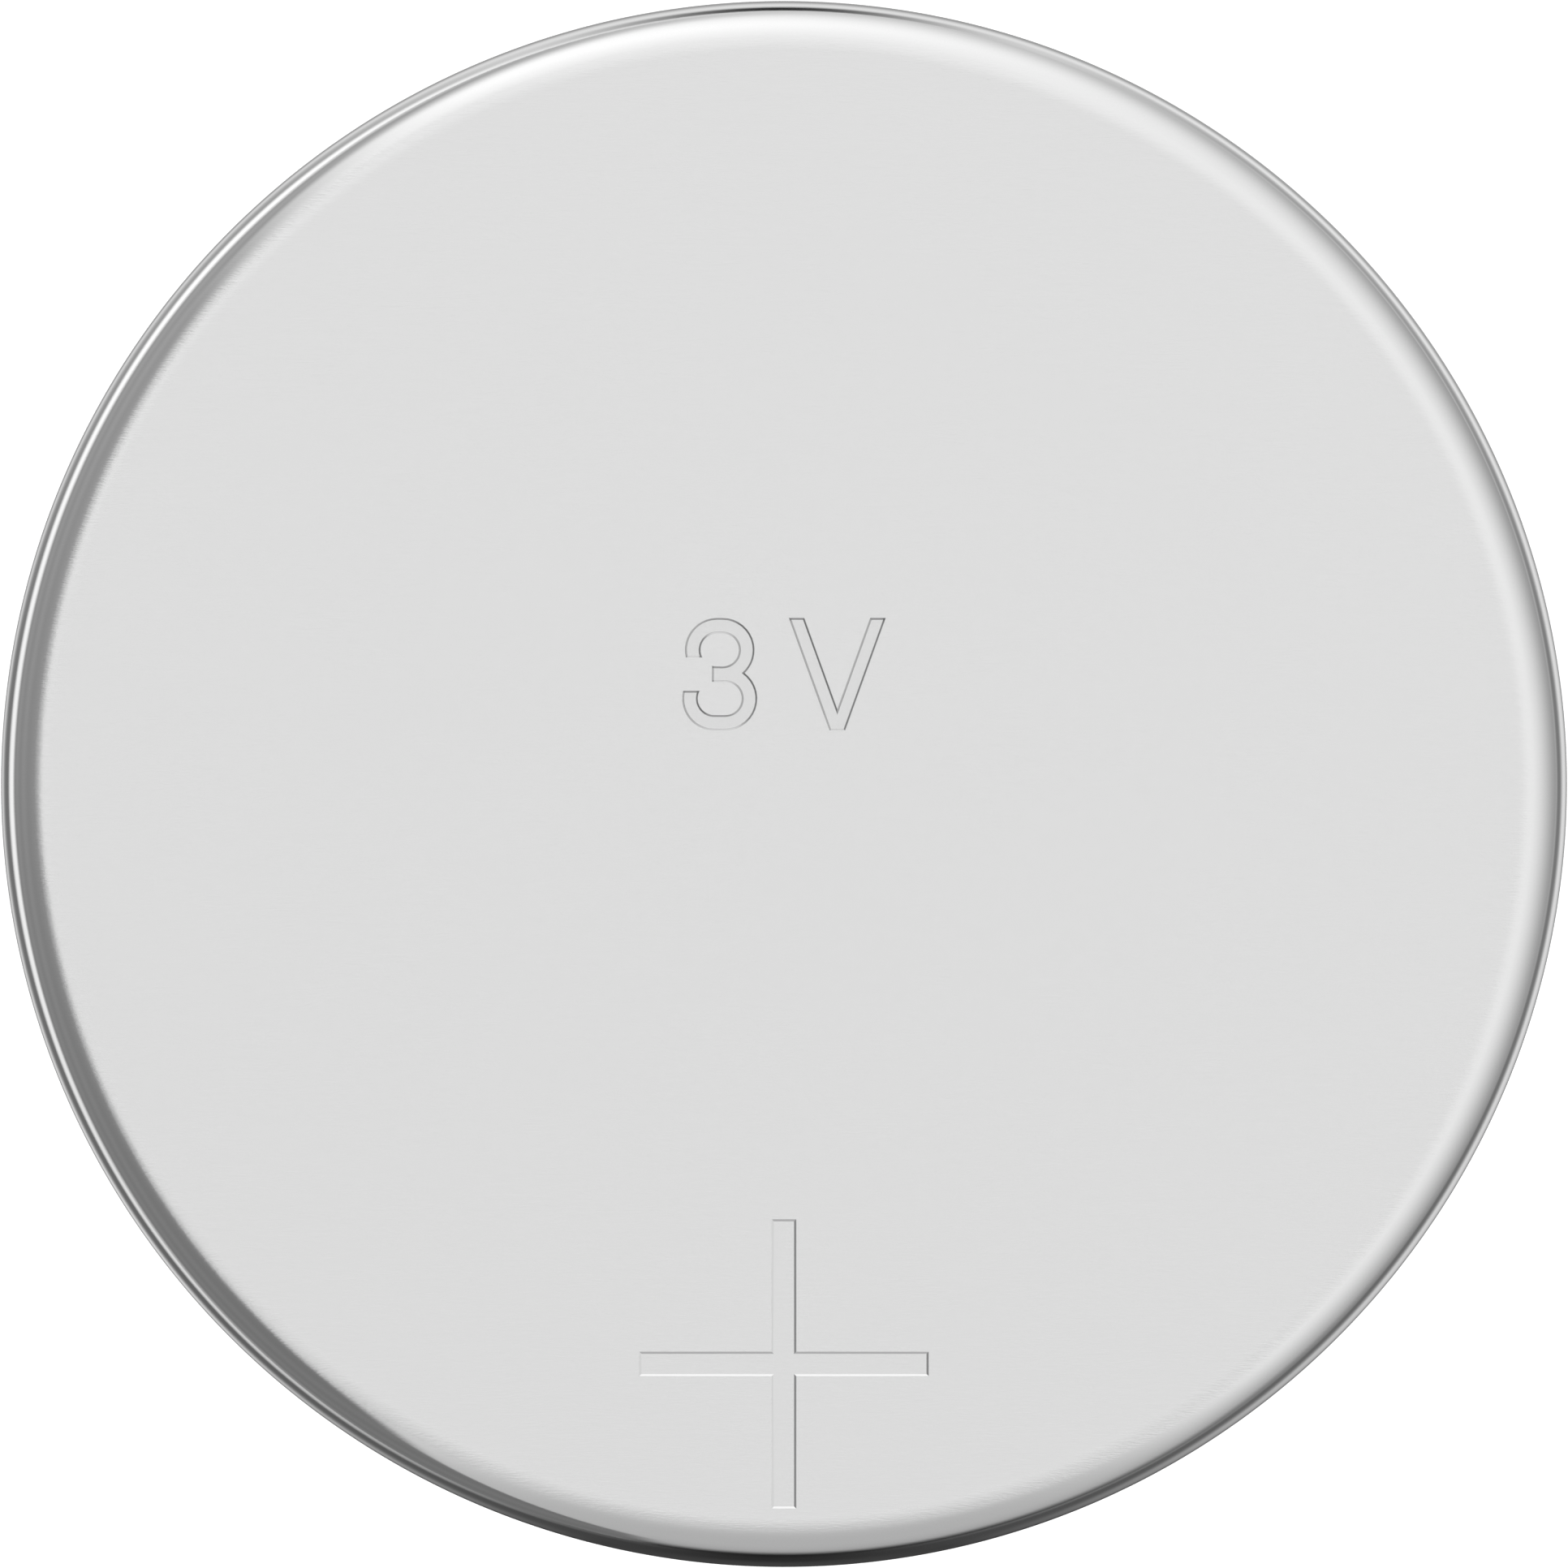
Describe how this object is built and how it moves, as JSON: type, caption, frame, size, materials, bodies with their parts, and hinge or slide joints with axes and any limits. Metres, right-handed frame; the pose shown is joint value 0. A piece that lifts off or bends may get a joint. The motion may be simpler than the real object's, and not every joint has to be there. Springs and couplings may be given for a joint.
{
  "type": "lithium coin cell",
  "caption": "Thin round lithium coin cell: drawn steel can crimped over a plastic gasket and a raised negative cap, with its electrodes, separator and collector ring inside.",
  "frame": {"origin": "centre of the negative cap's flat contact face, which the cell rests on", "axes": "+Z along the cell's axis towards the positive face, +Y towards the top of the positive face as its marks are read, +X to the right of those marks"},
  "size_m": [0.01, 0.01, 0.0025],
  "materials": {
    "can_steel": "finely brushed stainless steel, satin",
    "gasket_plastic": "moulded polypropylene, matt",
    "cap_steel": "drawn stainless steel, satin",
    "ring_steel": "thin rolled stainless steel",
    "cathode_mix": "pressed black powder, dull",
    "separator_felt": "non-woven fibre sheet",
    "lithium_metal": "soft rolled metal, dull silver"
  },
  "bodies": {
    "root": {"positive_can": "can_steel", "gasket": "gasket_plastic", "negative_cap": "cap_steel", "cathode_ring": "ring_steel", "cathode_pellet": "cathode_mix", "separator": "separator_felt", "lithium_disc": "lithium_metal"}
  },
  "joints": []
}
